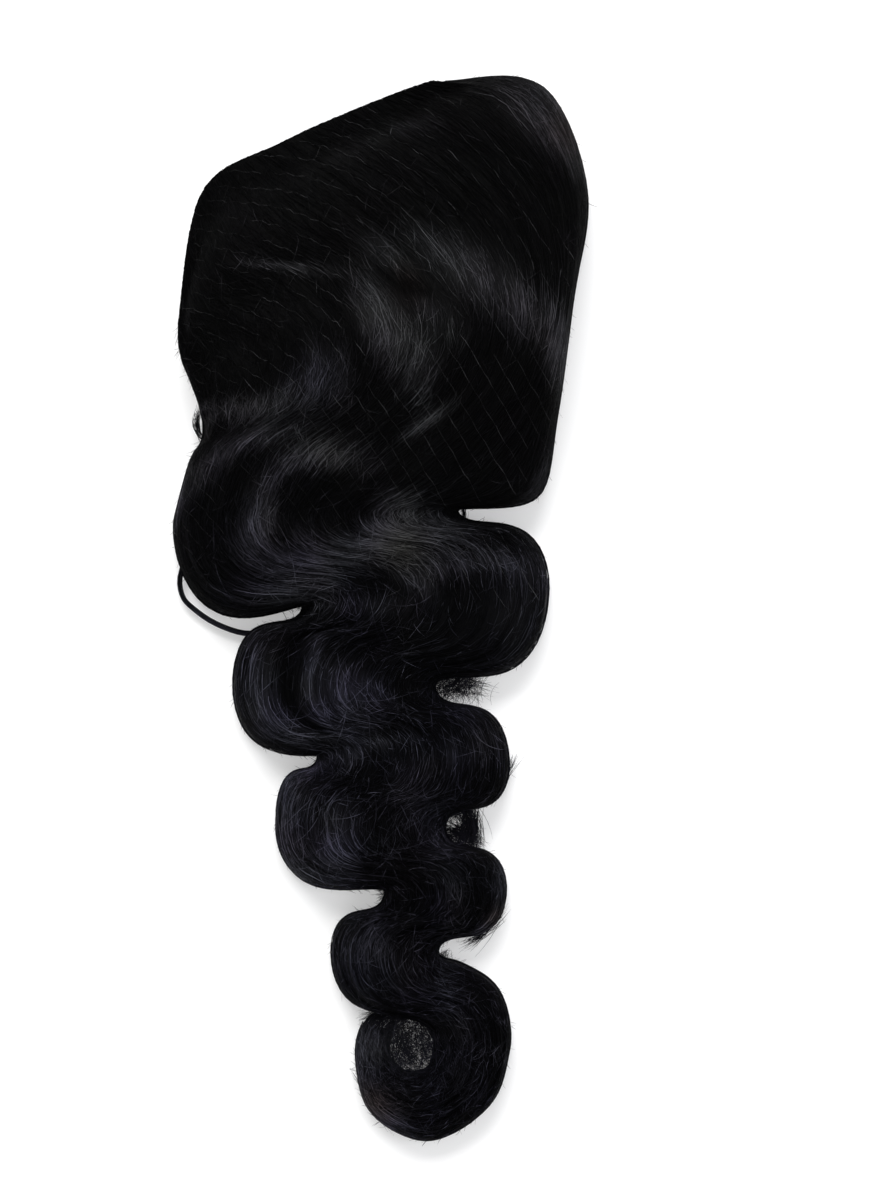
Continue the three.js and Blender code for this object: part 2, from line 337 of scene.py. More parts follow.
# painted highlights, where the combed hair's colour is made lighter as if it caught the light: x, y, half
# length, half width in millimetres from the middle of the piece, tilt in degrees, strength; a strength below
# 0 takes painted highlight away, a dull place
paintedSheenSpots = {
    "top right": [
        (67.5, 203.0, 20, 7.5, -42, .68), (74.0, 211.0, 13, 8, -45, .32), (80.5, 188.0, 12, 4, -60, .30),
    ],
    "crown": [
        (3.8, 145.4, 12, 6.5, -30, .60), (22.6, 147.5, 15, 6.5, -25, .53), (36.8, 138.5, 15, 7.5, -40, .60),
        (12.0, 133.4, 10, 3.2, -25, -.60), (-1.0, 123.6, 13, 6, -60, .75), (3.8, 110.1, 15, 7, -62, .75),
        (15.5, 107.8, 12, 6, -55, .70), (17.9, 89.0, 9, 3.4, -75, .55), (21.5, 122.4, 15, 8, -45, .50),
        (56.8, 126.0, 20, 8, -48, .60), (72.0, 115.4, 16, 6, -60, .60), (73.5, 101.0, 13, 3.5, -68, .50),
        (67.4, 53.6, 9, 3.5, 65, .32),
    ],
    "wisps": [
        (-37.6, 141.2, 17, 1.4, -4, .70), (-24.6, 137.8, 9, 1.0, 0, .40), (15.5, 200.2, 10, 2.6, 15, .35),
        (-8.0, 190.8, 14, 2.2, 25, .26), (-40.0, 189.0, 30, 8, 24, .04), (19.7, 77.1, 10, 2.2, 30, 1.0),
    ],
    "above the first bulge": [
        (-27.0, 95.0, 11, 6.5, 82, .80), (-15.0, 93.7, 12, 4, 85, .35), (-63.4, 83.0, 13, 4, 10, .65),
        (-48.0, 83.5, 11, 4.5, 25, .65), (-38.0, 88.0, 8, 5, 50, .35), (-55.0, 70.0, 19, 2.6, 30, .50),
        (-43.4, 71.2, 15, 2.6, 15, .45),
    ],
    "first bulge": [
        (-21.0, 63.0, 15, 5.5, -8, 1.05), (-37.6, 58.3, 9, 4.5, 35, .65), (-28.0, 49.5, 11, 6, 0, -1.0),
        (-70.5, 58.0, 13, 4.5, 50, .42), (-83.4, 48.8, 14, 2.2, 80, .55), (-49.3, 41.0, 13, 5.5, 75, 1.0),
        (-51.6, 31.2, 8, 5, 60, .75), (-39.8, 17.0, 17, 7, -20, .50), (-24.5, 19.4, 12, 5, -55, .90),
        (-43.4, 6.4, 16, 4.5, 5, .55), (-15.0, 22.9, 8, 3.6, -60, .45),
    ],
    "right of the first bulge": [
        (9.7, 41.8, 9, 4.5, -20, .70), (.2, 30.0, 13, 5.5, 45, 1.05), (9.7, 22.9, 13, 7, -20, .70),
        (15.5, 11.0, 9, 4, -40, .60), (22.6, 32.3, 14, 7, -15, .45), (32.0, 17.0, 12, 3, 10, .80),
        (48.5, 19.3, 15, 3.6, -5, .70), (62.7, 13.5, 10, 4.5, -40, .40), (58.0, -1.0, 22, 11, 80, .24),
        (-8.0, .5, 18, 3.6, 0, .45),
    ],
    "second bulge": [
        (-49.2, -32.6, 18, 6, 85, .66), (-46.5, -44.5, 15, 5.5, -40, .66), (-53.8, -23.5, 12, 5, 70, .40),
        (-35.5, -52.7, 14, 3.6, -10, .50), (-36.9, -27.0, 12, 3.5, 80, -.35),
        (-28.3, -23.5, 12, 2.2, 75, .60),
        (-26.4, -39.9, 12, 2.6, -60, .85), (-12.8, -52.7, 14, 2.2, -25, .75), (3.6, -55.9, 14, 1.8, 5, .50),
        (-16.4, -35.3, 14, 7, -50, .90), (-3.6, -34.4, 12, 5, -40, .50), (32.8, -61.7, 18, 6, 15, .38),
        (40.0, -50.8, 12, 5, -50, .24),
    ],
    "third bulge": [
        (-37.3, -82.7, 15, 7, 80, .72), (-37.3, -103.7, 13, 7, -70, .72), (-20.0, -103.7, 9, 6, -60, 1.05),
        (-16.4, -91.9, 12, 8, -70, .62), (-26.4, -114.6, 15, 3.6, -8, .55), (-28.3, -67.2, 13, 3.6, 20, .45),
        (-12.8, -62.7, 6, 3.6, 0, .65), (23.6, -96.4, 20, 7, 100, .25), (10.9, -78.2, 14, 6, -80, .22),
        (51.0, -112.8, 12, 3.5, 80, .35), (44.3, -135.0, 10, 3, 45, .55), (30.8, -122.3, 14, 5, 80, .28),
    ],
    "tail": [
        (-3.7, -141.0, 9, 5, 80, .60), (-10.4, -154.6, 17, 8, -70, .28), (8.3, -151.6, 14, 7, -60, .23),
        (-14.2, -143.4, 13, 4.5, 80, .35), (34.6, -180.9, 24, 9, -80, .16), (28.6, -162.1, 14, 7, -70, .15),
        (-2.9, -203.4, 15, 4.5, -55, .40), (6.1, -214.6, 12, 3.6, -40, .40), (-4.2, -186.5, 10, 5.5, 80, .72),
        (-1.5, -213.6, 12, 2.0, -50, 1.0),
    ],
}

hairTint = {
    "top": (1.0, .99, 1.06),
    "tail": (.955, .94, 1.26),
    "coolFrom": .11,
    "coolTo": -.04,
    "patch": .06,
    "patchSize": .014,
    "bluePatch": .12,
    "bluePatchSize": .011,
    "bluePatchAtTop": .3,
    "spots": [  # x and y in millimetres from the middle, size, tint
        (12.0, 133.4, 7, (1.28, .98, .95)), (80.0, 199.0, 9, (1.20, .98, 1.0)),
        (-2.0, -208.0, 9, (1.22, .98, 1.0)), (48.0, -130.0, 6, (1.20, 1.0, 1.0)),
        (9.7, 23.8, 13, (1.06, 1.05, .98)), (-22.0, 63.0, 12, (1.02, 1.02, 1.0)),
        (-27.0, 96.0, 15, (.96, .95, 1.22)), (-30.0, 52.0, 10, (.98, .96, 1.16)),
    ],
    # the least and the most painted highlight anywhere on the hair
    "leastSheen": .026,
    "mostSheen": 1.15,
}


# how much painted highlight the hair's colour gets at a place, from leastSheen to mostSheen
def paintedSheenAt(x, y):
    total = np.zeros_like(x)
    middle = placeFromMiddle(0, 0)
    for spots in paintedSheenSpots.values():
        for centreX, centreY, long, wide, tilt, strength in spots:
            dx = (x - middle[0]) / millimetre - centreX
            dy = (y - middle[1]) / millimetre - centreY
            c, s = math.cos(math.radians(tilt)), math.sin(math.radians(tilt))
            along, off = dx * c + dy * s, dy * c - dx * s
            total += strength * np.exp(-(along / long) ** 2 - (off / wide) ** 2)
    return np.clip(total, hairTint["leastSheen"], hairTint["mostSheen"])


# neutral at the crown, bluish down the tail, rusty in a few places
def tintAt(x, y):
    cool = smooth(hairTint["coolFrom"], hairTint["coolTo"], y)[..., None]
    tint = np.array(hairTint["top"]) * (1 - cool) + np.array(hairTint["tail"]) * cool
    size = hairTint["patchSize"]
    tint[..., 1] += hairTint["patch"] * valueNoise(x / size, y / size, 77)
    size, atTop = hairTint["bluePatchSize"], hairTint["bluePatchAtTop"]
    blue = hairTint["bluePatch"] * (atTop + (1 - atTop) * cool[..., 0])
    tint[..., 2] *= 1 + blue * valueNoise(x / size, y / size, 78)
    for spotX, spotY, size, colour in hairTint["spots"]:
        centre = placeFromMiddle(spotX, spotY)
        near = np.exp(-((x - centre[0]) ** 2 + (y - centre[1]) ** 2) / (size * millimetre) ** 2)[..., None]
        tint = tint * (1 - near) + np.array(colour) * near
    return tint


# hair colour with a painted highlight, roughness and relief: the painted sheen, the strand's own shade and
# streaks along the flow mix Dark toward Lit, the colour of the painted highlight
def makeStrandToneAndSheenGroup():
    group = bpy.data.node_groups.new("strandToneAndSheen", "ShaderNodeTree")
    for name, kind, value in (
        ("Dark", "NodeSocketColor", (.001, .001, .001, 1)),
        # Lit is the colour of the painted highlight
        ("Lit", "NodeSocketColor", (.06, .06, .06, 1)),
        ("Streak Depth", "NodeSocketFloat", .5),
    ):
        socket = group.interface.new_socket(name, in_out="INPUT", socket_type=kind)
        socket.default_value = value
    group.interface.new_socket("Color", in_out="OUTPUT", socket_type="NodeSocketColor")
    group.interface.new_socket("Roughness", in_out="OUTPUT", socket_type="NodeSocketFloat")
    group.interface.new_socket("Height", in_out="OUTPUT", socket_type="NodeSocketFloat")
    nodes, links = group.nodes, group.links
    inputs, outputs = nodes.new("NodeGroupInput"), nodes.new("NodeGroupOutput")

    def attribute(name):
        node = nodes.new("ShaderNodeAttribute")
        node.attribute_name = name
        return node

    def maths(operation, a, b, c=None, clamp=False):
        node = nodes.new("ShaderNodeMath")
        node.operation = operation
        node.use_clamp = clamp
        for socket, value in zip(node.inputs, (a, b, c)):
            if isinstance(value, (int, float)):
                socket.default_value = value
            elif value is not None:
                links.new(value, socket)
        return node.outputs[0]

    flow = attribute("flow")

    def streaks(stretch, detail):
        scaled = nodes.new("ShaderNodeVectorMath")
        scaled.operation = "MULTIPLY"
        scaled.inputs[1].default_value = stretch
        links.new(flow.outputs["Vector"], scaled.inputs[0])
        noise = nodes.new("ShaderNodeTexNoise")
        noise.inputs["Scale"].default_value = 1.0
        noise.inputs["Detail"].default_value = detail
        noise.inputs["Roughness"].default_value = .62
        links.new(scaled.outputs["Vector"], noise.inputs["Vector"])
        return noise.outputs["Fac"]

    long, short, fuzz = streaks((1, 1, 1), 2), streaks((1.6, 4.5, 1), 2), streaks((2.6, 16, 1), 1)
    longPart, shortPart, fuzzPart = .34, .34, .32
    mixed = maths("MULTIPLY", fuzz, fuzzPart)
    mixed = maths("MULTIPLY_ADD", short, shortPart, mixed)
    mixed = maths("MULTIPLY_ADD", long, longPart, mixed)
    contrast = nodes.new("ShaderNodeMapRange")
    contrast.inputs["From Min"].default_value = .40
    contrast.inputs["From Max"].default_value = .62
    links.new(mixed, contrast.inputs["Value"])
    depth = inputs.outputs["Streak Depth"]
    streak = maths("MULTIPLY_ADD", contrast.outputs["Result"], depth, maths("SUBTRACT", 1.0, depth))
    # the painted highlight: sheen times streaks times the strand's own shade
    lit = maths("MULTIPLY", attribute("sheen").outputs["Fac"], streak)
    own = maths("MULTIPLY", lit, attribute("shade").outputs["Fac"], clamp=True)
    base = nodes.new("ShaderNodeMix")
    base.data_type = "RGBA"
    links.new(own, base.inputs["Factor"])
    links.new(inputs.outputs["Dark"], base.inputs["A"])
    links.new(inputs.outputs["Lit"], base.inputs["B"])
    tinted = nodes.new("ShaderNodeMix")
    tinted.data_type = "RGBA"
    tinted.blend_type = "MULTIPLY"
    tinted.inputs["Factor"].default_value = 1.0
    links.new(base.outputs["Result"], tinted.inputs["A"])
    links.new(attribute("tint").outputs["Vector"], tinted.inputs["B"])
    rough = nodes.new("ShaderNodeMapRange")
    rough.inputs["To Min"].default_value = .60
    rough.inputs["To Max"].default_value = .42
    links.new(own, rough.inputs["Value"])
    links.new(tinted.outputs["Result"], outputs.inputs["Color"])
    links.new(rough.outputs["Result"], outputs.inputs["Roughness"])
    links.new(contrast.outputs["Result"], outputs.inputs["Height"])
    return group


strandToneAndSheen = makeStrandToneAndSheenGroup()


def hairMaterial(name, dark, lit, streakDepth, bump, specular):
    material = bpy.data.materials.new(name)
    material.use_nodes = True
    tree = material.node_tree
    shader = tree.nodes["Principled BSDF"]
    shader.inputs["Specular IOR Level"].default_value = specular
    tone = tree.nodes.new("ShaderNodeGroup")
    tone.node_tree = strandToneAndSheen
    tone.inputs["Dark"].default_value = (*dark, 1)
    tone.inputs["Lit"].default_value = (*lit, 1)
    tone.inputs["Streak Depth"].default_value = streakDepth
    tree.links.new(tone.outputs["Color"], shader.inputs["Base Color"])
    tree.links.new(tone.outputs["Roughness"], shader.inputs["Roughness"])
    if bump:
        relief = tree.nodes.new("ShaderNodeBump")
        relief.inputs["Strength"].default_value = .6
        relief.inputs["Distance"].default_value = bump
        tree.links.new(tone.outputs["Height"], relief.inputs["Height"])
        tree.links.new(relief.outputs["Normal"], shader.inputs["Normal"])
    return material


# dark is the hair's own colour; lit is the colour of its painted highlight
hairFinish = {
    "dark": (.0006, .0006, .00065),
    "lit": (.020, .020, .020),
    "streakDepth": .80,
    "bump": .0004,
    "specular": .03,
}
strandFinish = {**hairFinish, "lit": (.074, .074, .076), "streakDepth": .60, "bump": 0}
looseFinish = {**hairFinish, "lit": (.080, .080, .082), "streakDepth": .55, "bump": 0}
surfaceHair = hairMaterial("waved_hair", **hairFinish)
strandHair = hairMaterial("single_strands", **strandFinish)
flyHair = hairMaterial("loose_hairs", **looseFinish)


def addAttributes(mesh, values):
    for name, value in values.items():
        kind = "FLOAT_VECTOR" if value.ndim == 2 else "FLOAT"
        attribute = mesh.attributes.new(name, kind, "POINT")
        key = "vector" if value.ndim == 2 else "value"
        attribute.data.foreach_set(key, np.ascontiguousarray(value, np.float32).ravel())


# how the painted highlights break up along the flow
strandLight = {
    "locks": [(.34, 34, 22, 91), (.22, 90, 12, 92)],  # strength, waves across, stations a wave, seed
    "crisp": (230, 3, 93),
    "crispCrown": .22,  # strength of the crisp waves in the crown, and in the waved hair below it
    "crispWaves": .70,
    "wavesFrom": (70, 105),  # stations
    "least": .08,
    "streaksAcross": 260,
    "streaksAlong": .11,
}


# what the hair materials read at each point, with the painted highlight as sheen; seen is where a strand
# takes its painted highlight from
def hairTraits(station, share, x, y, shade, seen=None):
    spec = strandLight
    lightX, lightY = (x, y) if seen is None else (seen[..., 0], seen[..., 1])
    lock = 1
    for strength, across, along, seed in spec["locks"]:
        lock = lock + strength * valueNoise(share * across, station / along, seed)
    across, along, seed = spec["crisp"]
    low, high = spec["crispCrown"], spec["crispWaves"]
    strength = low + (high - low) * smooth(*spec["wavesFrom"], station)
    lock = np.maximum(lock + strength * valueNoise(share * across, station / along, seed), spec["least"])
    streaks = [share * spec["streaksAcross"], station * spec["streaksAlong"], np.zeros_like(share)]
    return {
        "flow": np.stack(streaks, -1),
        "sheen": paintedSheenAt(lightX, lightY) * lock,
        "shade": shade,
        "tint": tintAt(x, y),
    }


def finishPiece(piece, material):
    piece.data.materials.append(material)
    piece.data.polygons.foreach_set("use_smooth", [True] * len(piece.data.polygons))
    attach(piece, "root")
    return piece


bodyShade = {"mean": .8, "change": .2, "across": 60, "along": 30}


# a closed body of hair: a grid laid along the flow, raised from its lower to its upper face
def layerOfHair(name, stations, lanes, shares, lower, upper):
    bm = bmesh.new()
    bmesh.ops.create_grid(bm, x_segments=lanes, y_segments=stations, size=.5)
    bmesh.ops.extrude_face_region(bm, geom=bm.faces[:])
    mesh = bpy.data.meshes.new(name)
    bm.to_mesh(mesh)
    bm.free()
    co = np.zeros(len(mesh.vertices) * 3)
    mesh.vertices.foreach_get("co", co)
    co = co.reshape(-1, 3)
    low, high = shares
    share = low + (high - low) * shareFromSpread(co[:, 0] + .5)
    station = (co[:, 1] + .5) * lastStation
    place = between(flowGrid, station, share)
    half = len(co) // 2
    height = np.concatenate([lower(station[:half], share[:half]), upper(station[half:], share[half:])])
    co[:, :2] = place
    co[:, 2] = height
    mesh.vertices.foreach_set("co", co.ravel())
    patches = valueNoise(share * bodyShade["across"], station / bodyShade["along"], 5)
    shade = bodyShade["mean"] + bodyShade["change"] * patches
    addAttributes(mesh, hairTraits(station, share, place[:, 0], place[:, 1], shade))
    bm = bmesh.new()
    bm.from_mesh(mesh)
    bmesh.ops.recalc_face_normals(bm, faces=bm.faces[:])
    bm.to_mesh(mesh)
    bm.free()
    piece = bpy.data.objects.new(name, mesh)
    bpy.context.scene.collection.objects.link(piece)
    return piece


underBody = {"stations": 170, "lanes": 44, "shares": (0, 1)}
overBody = {"stations": 220, "lanes": 84, "shares": (hairForm["inset"], 1 - hairForm["inset"])}


def makeHairBodies():
    under = layerOfHair("lower_hair", lower=underBottom, upper=underTop, **underBody)
    finishPiece(under, surfaceHair)
    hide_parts("under_hair")
    over = layerOfHair("upper_hair", lower=overBottom, upper=overTop, **overBody)
    finishPiece(over, surfaceHair)
    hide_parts("over_hair")
    return under, over


lowerHair, upperHair = makeHairBodies()
print("hair bodies made:", len(lowerHair.data.polygons), len(upperHair.data.polygons))


def treeOf(piece):
    bm = bmesh.new()
    bm.from_mesh(piece.data)
    tree = BVHTree.FromBMesh(bm)
    bm.free()
    return tree


upperTree, lowerTree = treeOf(upperHair), treeOf(lowerHair)
down = Vector((0, 0, -1))
wellAbove = .1


# the height of the hair below a place, or None past its outline
def topUnder(x, y):
    above = Vector((x, y, wellAbove))
    for tree in (upperTree, lowerTree):
        hit = tree.ray_cast(above, down)[0]
        if hit is not None:
            return hit.z
    return None


drape = {"floorGap": .0006, "startOutside": .005, "sag": .0002}


# heights for a bundle of paths that lie on the hair; past the outline they sink a little at each point
def drapeHeights(places, lift):
    count, points, _ = places.shape
    heights = np.zeros((count, points))
    outside = np.zeros((count, points), bool)
    for index in range(count):
        level = None
        for point in range(points):
            top = topUnder(*places[index, point])
            outside[index, point] = top is None
            if top is None:
                level = drape["startOutside"] if level is None else level - drape["sag"]
            else:
                level = top + lift[index]
            heights[index, point] = max(level, drape["floorGap"])
    return heights, outside


tube = {"taperPoints": 2, "blunt": .25, "rise": 1.3}
tiny = 1e-12


# thin three-sided tubes along many paths at once, tapered to both ends, as one mesh
def strandTubes(name, paths, width, traits, material):
    count, length, _ = paths.shape
    tangent = np.gradient(paths, axis=1)
    tangent /= np.linalg.norm(tangent, axis=2, keepdims=True) + tiny
    side = np.cross(tangent, np.array([0, 0, 1.0]))
    side /= np.linalg.norm(side, axis=2, keepdims=True) + tiny
    lift = np.cross(side, tangent)
    steps = np.arange(length)
    taper = np.clip(np.minimum(steps, steps[::-1]) / tube["taperPoints"] + tube["blunt"], 0, 1)
    half = (width[:, None] * taper / 2)[..., None]
    corners = np.stack([paths - side * half, paths + side * half, paths + lift * half * tube["rise"]], 2)
    ring = np.arange(count * length * 3).reshape(count, length, 3)
    quads = []
    for a, b in ((0, 1), (1, 2), (2, 0)):
        quads.append(np.stack([ring[:, :-1, a], ring[:, 1:, a], ring[:, 1:, b], ring[:, :-1, b]], -1))
    quads = np.concatenate([q.reshape(-1, 4) for q in quads])
    caps = np.concatenate([ring[:, 0], ring[:, -1, ::-1]])
    mesh = bpy.data.meshes.new(name)
    mesh.vertices.add(count * length * 3)
    mesh.vertices.foreach_set("co", corners.ravel())
    mesh.loops.add(quads.size + caps.size)
    mesh.loops.foreach_set("vertex_index", np.concatenate([quads.ravel(), caps.ravel()]))
    mesh.polygons.add(len(quads) + len(caps))
    starts = np.concatenate([np.arange(len(quads)) * 4, quads.size + np.arange(len(caps)) * 3])
    mesh.polygons.foreach_set("loop_start", starts)
    mesh.update(calc_edges=True)
    mesh.validate()
    addAttributes(mesh, {key: np.repeat(value.reshape(count * length, *value.shape[2:]), 3, 0)
                         for key, value in traits.items()})
    piece = bpy.data.objects.new(name, mesh)
    bpy.context.scene.collection.objects.link(piece)
    return finishPiece(piece, material)


# each strand's own brightness, with painted glints along it, both scaling its painted highlight; a grain
# above 1 makes both more uneven
def strandShades(random, count, points, mean=.92, spread=.6, glint=.42, grain=1):
    spread, glint = spread * grain, glint * grain
    own = random.normal(0, spread, (count, 1)) + random.normal(0, glint, (count, points))
    return mean * np.exp(own - (spread ** 2 + glint ** 2) / 2)


# the strands combed along the flow
combedStrands = {
    "pieces": {  # stations, number of strands, grain of their tones
        "crown_strands_a": ((0, 84), 2900, .8),
        "crown_strands_b": ((0, 96), 2900, .8),
        "wave_strands": ((70, 205), 3300, 1.4),
        "tail_strands": ((185, lastStation + 6), 2300, 1.25),
    },
    "points": 7,
    "width": (.00014, .00029),
    "span": (6, 15),  # stations
    "startBefore": 6,  # stations
    "startShort": 5,
    "wander": .011,
    "waves": 4,
    "waveLength": 1.5,
    "lift": .0010,
    "liftPower": 1.5,
    "sunk": .0013,
    "sunkShare": 6,  # the sunk ends are one part in this many of the strand
    "hairlineStations": 2,  # ends that start before this station aren't sunk
    "lightShift": 1.1,  # stations that a strand's highlight strays along the flow
}
edgeStrands = {"perSide": 400, "band": .03, "width": (.00018, .00030)}


# paths along the flow on a layer's top, sunk into it at both ends
def combedPaths(random, count, shares, topOf, stationRange, grain=1):
    spec = combedStrands
    points = spec["points"]
    span = random.uniform(*spec["span"], count)
    first, last = stationRange
    start = random.uniform(first - spec["startBefore"], last - spec["startShort"], count)
    steps = np.linspace(0, 1, points)
    station = np.clip(start[:, None] + span[:, None] * steps, first, last)
    low, high = shares
    share = low + (high - low) * shareFromSpread(random.uniform(0, 1, count))
    drift = random.uniform(-1, 1, (count, spec["waves"])) * spec["wander"]
    sway = sum(drift[:, k, None] * np.sin((k + 1) * np.pi * steps / spec["waveLength"] + k)
               for k in range(spec["waves"])) / 2
    share = np.clip(share[:, None] + sway, low, high)
    place = between(flowGrid, station, share)
    seen = between(flowGrid, station + random.normal(0, spec["lightShift"], count)[:, None], share)
    sunk = spec["sunk"] * (1 - np.clip(np.minimum(steps, 1 - steps) * spec["sunkShare"], 0, 1))
    lift = spec["lift"] * random.uniform(0, 1, count)[:, None] ** spec["liftPower"]
    height = topOf(station, share) + lift - np.where(station < spec["hairlineStations"], 0, sunk)
    paths = np.concatenate([place, height[..., None]], 2)
    shade = strandShades(random, count, points, grain=grain)
    return paths, hairTraits(station, share, place[..., 0], place[..., 1], shade, seen)


def makeCombedStrands():
    random = np.random.default_rng(7)
    inset = hairForm["inset"]
    for name, (stationRange, count, grain) in combedStrands["pieces"].items():
        paths, traits = combedPaths(random, count, (inset, 1 - inset), overTop, stationRange, grain)
        strandTubes(name, paths, random.uniform(*combedStrands["width"], count), traits, strandHair)


# strands that lie over the joint between the two layers, along both edges
def makeEdgeStrands():
    random = np.random.default_rng(8)
    spec = edgeStrands
    band = spec["band"]

    def rimTop(station, share):
        inward = smooth(0, band, np.minimum(share, 1 - share))
        return underTop(station, share) * (1 - inward) + overTop(station, share) * inward

    sides = [combedPaths(random, spec["perSide"], shares, rimTop, (0, lastStation))
             for shares in ((0, band), (1 - band, 1))]
    paths = np.concatenate([side[0] for side in sides])
    traits = {key: np.concatenate([side[1][key] for side in sides]) for key in sides[0][1]}
    strandTubes("edge_strands", paths, random.uniform(*spec["width"], len(paths)), traits, strandHair)


sideStrands = {
    "perSide": 520,
    "standOff": (.0000, .0005),
    "width": (.00018, .00032),
    "from": 2,  # stations
    "span": (5, 12),
    "startShort": 6,
    "aside": .4,  # stations to each side that give the way the edge runs
    "inward": .02,  # share that tells which side of the edge is the hair
    "level": (.05, .98),  # shares of the side's height
    "tilt": .06,
    "lowest": .03,
    "floorGap": .0004,
    # the share of the painted highlight these strands keep, and a painted highlight added to them all
    "sheenShare": .7,
    "glow": .10,
}


# strands along the upright sides of the lower hair
def makeSideStrands():
    random = np.random.default_rng(9)
    spec = sideStrands
    count = spec["perSide"] * 2
    points = combedStrands["points"]
    share = np.repeat(np.tile([0.0, 1.0], spec["perSide"])[:, None], points, 1)
    start = random.uniform(spec["from"], lastStation - spec["startShort"], count)
    station = start[:, None] + random.uniform(*spec["span"], count)[:, None] * np.linspace(0, 1, points)
    station = np.clip(station, spec["from"], lastStation)
    place = between(flowGrid, station, share)
    aside = spec["aside"]
    ahead = between(flowGrid, station + aside, share) - between(flowGrid, station - aside, share)
    outward = np.stack([ahead[..., 1], -ahead[..., 0]], -1) * np.sign(.5 - share)[..., None]
    outward /= np.linalg.norm(outward, axis=2, keepdims=True) + tiny
    inside = between(flowGrid, station, np.abs(share - spec["inward"]))
    outward *= np.sign(((place - inside) * outward).sum(2))[..., None]
    place = place + outward * random.uniform(*spec["standOff"], count)[:, None, None]
    low, high = underBottom(station, share), underTop(station, share)
    level = random.uniform(*spec["level"], count)[:, None]
    level = level + random.normal(0, spec["tilt"], count)[:, None] * np.linspace(-1, 1, points)
    height = low + (high - low) * np.clip(level, spec["lowest"], 1)
    paths = np.concatenate([place, np.maximum(height, spec["floorGap"])[..., None]], 2)
    traits = hairTraits(station, share, place[..., 0], place[..., 1], strandShades(random, count, points))
    # painted highlight on the side strands
    traits["sheen"] = traits["sheen"] * spec["sheenShare"] + spec["glow"]
    strandTubes("side_strands", paths, random.uniform(*spec["width"], count), traits, strandHair)


makeCombedStrands()
makeEdgeStrands()
makeSideStrands()
print("combed strands laid")


# short hairs that stand out of the combed ones, and longer ones that cross them
# glow: a painted highlight added to every hair of a kind
strayHairs = {
    "frizz_crown": {
        "glow": .03, "count": 2600, "stations": (2, 96), "points": 5, "length": (.003, .011),
        "stray": 26, "wild": .14, "curve": .4, "shares": (0, 1),
    },
    "upright_frizz": {
        "glow": .03, "count": 1300, "stations": (2, 62), "points": 5, "length": (.004, .012),
        "heading": -97, "stray": 15, "wild": .05, "curve": .3, "shares": (0, .62),
    },
    "frizz_waves": {
        "glow": .16, "count": 4200, "stations": (84, lastStation), "points": 5, "length": (.003, .010),
        "stray": 30, "wild": .20, "curve": .5, "shares": (0, 1),
    },
    "crossing_hairs": {
        "glow": .11, "count": 300, "stations": (60, 262), "points": 9, "length": (.015, .036),
        "stray": 28, "wild": .15, "curve": .8, "shares": (.14, .86),
    },
}
edgeFuzz = {
    # glow: a painted highlight added to every hair
    "glow": .1, "count": 800, "stations": (2, lastStation), "points": 4, "length": (.002, .0048),
    "stray": 24, "wild": .10, "curve": .5,
}
strayHairs["edge_fuzz_left"] = {**edgeFuzz, "shares": (0, .014)}
strayHairs["edge_fuzz_right"] = {**edgeFuzz, "shares": (.986, 1)}
strayLook = {
    "width": (.00010, .00019),
    "lift": (.0001, .0011),
    "wildTurn": 1.3,  # radians
    "jitter": .06,
    "ahead": 1.5,  # stations
    "stationsAPoint": 1.7,
    "tones": (1.58, .9, .55),  # mean, spread and glint
    # the share of the painted highlight that the stray hairs keep
    "sheenShare": .8,
    "furthestOut": {"frizz": .21, "crossing": .12, "edge": .8},  # share of a hair past the outline
}


def makeStrayHairs():
    random = np.random.default_rng(21)
    look = strayLook
    for name, spec in strayHairs.items():
        count, points = spec["count"], spec["points"]
        station = random.uniform(*spec["stations"], count)
        share = random.uniform(*spec["shares"], count)
        start = between(flowGrid, station, share)
        ahead = between(flowGrid, station + look["ahead"], share) - start
        heading = np.arctan2(ahead[:, 1], ahead[:, 0])
        if "heading" in spec:
            heading = np.full(count, math.radians(spec["heading"]))
        heading = heading + np.radians(random.normal(0, spec["stray"], count))
        wild = random.uniform(0, 1, count) < spec["wild"]
        heading += np.where(wild, random.uniform(-look["wildTurn"], look["wildTurn"], count), 0)
        turn = random.normal(0, spec["curve"], count) / points
        step = random.uniform(*spec["length"], count) / (points - 1)
        places = np.zeros((count, points, 2))
        places[:, 0] = start
        for point in range(1, points):
            heading = heading + turn + random.normal(0, look["jitter"], count)
            move = np.stack([np.cos(heading), np.sin(heading)], 1) * step[:, None]
            places[:, point] = places[:, point - 1] + move
        heights, outside = drapeHeights(places, random.uniform(*look["lift"], count))
        limit = next(most for kind, most in look["furthestOut"].items() if kind in name)
        kept = outside.mean(1) <= limit
        paths = np.concatenate([places, heights[..., None]], 2)[kept]
        shade = strandShades(random, count, points, *look["tones"])[kept]
        passed = station[kept, None] + np.arange(points) * look["stationsAPoint"]
        lane = np.repeat(share[kept, None], points, 1)
        traits = hairTraits(passed, lane, paths[..., 0], paths[..., 1], shade)
        # painted highlight: a share of the painted sheen, plus the kind's glow
        traits["sheen"] = traits["sheen"] * look["sheenShare"] + spec["glow"]
        strandTubes(name, paths, random.uniform(*look["width"], len(paths)), traits, flyHair)


makeStrayHairs()
print("stray hairs strewn")


